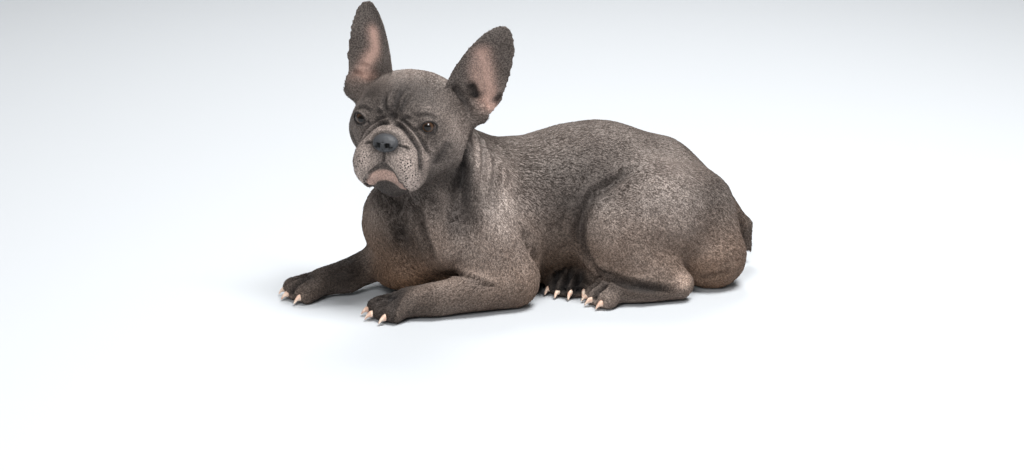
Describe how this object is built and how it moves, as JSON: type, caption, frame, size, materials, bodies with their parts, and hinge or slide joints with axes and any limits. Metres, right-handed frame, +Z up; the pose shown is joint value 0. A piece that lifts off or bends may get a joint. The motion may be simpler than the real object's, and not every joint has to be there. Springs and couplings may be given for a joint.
{
  "type": "french bulldog",
  "caption": "Life-size still model of a French bulldog lying on its chest with its head raised and turned to its left, ears up, forelegs and hind feet on the floor.",
  "frame": {"origin": "middle of the box round the whole dog, on the floor that it lies on", "axes": "+X towards the rump, the head end at -X; +Y the dog's right side; +Z up from the floor"},
  "size_m": [0.5542, 0.2726, 0.3348],
  "materials": {
    "coat": "short smooth blue-grey coat over skin",
    "nose": "damp dark slate leather of the nose",
    "eye": "wet amber-brown eye",
    "claw": "pale pinkish horn"
  },
  "bodies": {
    "root": {"ear_left": "coat", "ear_right": "coat", "tail": "coat", "lower_jaw": "coat", "forepaw_left": "coat", "forepaw_right": "coat", "hindfoot_left": "coat", "hindfoot_right": "coat", "muzzle": "coat", "forearm_left": "coat", "forearm_right": "coat", "shank_left": "coat", "head": "coat", "upper_arm_left": "coat", "upper_arm_right": "coat", "neck": "coat", "thigh_left": "coat", "thigh_right": "coat", "chest": "coat", "belly_and_rump": "coat", "claw_forepaw_left_1": "claw", "claw_forepaw_left_2": "claw", "claw_forepaw_left_3": "claw", "claw_forepaw_left_4": "claw", "claw_forepaw_right_1": "claw", "claw_forepaw_right_2": "claw", "claw_forepaw_right_3": "claw", "claw_forepaw_right_4": "claw", "claw_hindfoot_left_1": "claw", "claw_hindfoot_left_2": "claw", "claw_hindfoot_left_3": "claw", "claw_hindfoot_left_4": "claw", "claw_hindfoot_right_1": "claw", "claw_hindfoot_right_2": "claw", "claw_hindfoot_right_3": "claw", "claw_hindfoot_right_4": "claw", "eye_left": "eye", "eye_right": "eye", "nose": "nose"}
  },
  "joints": []
}
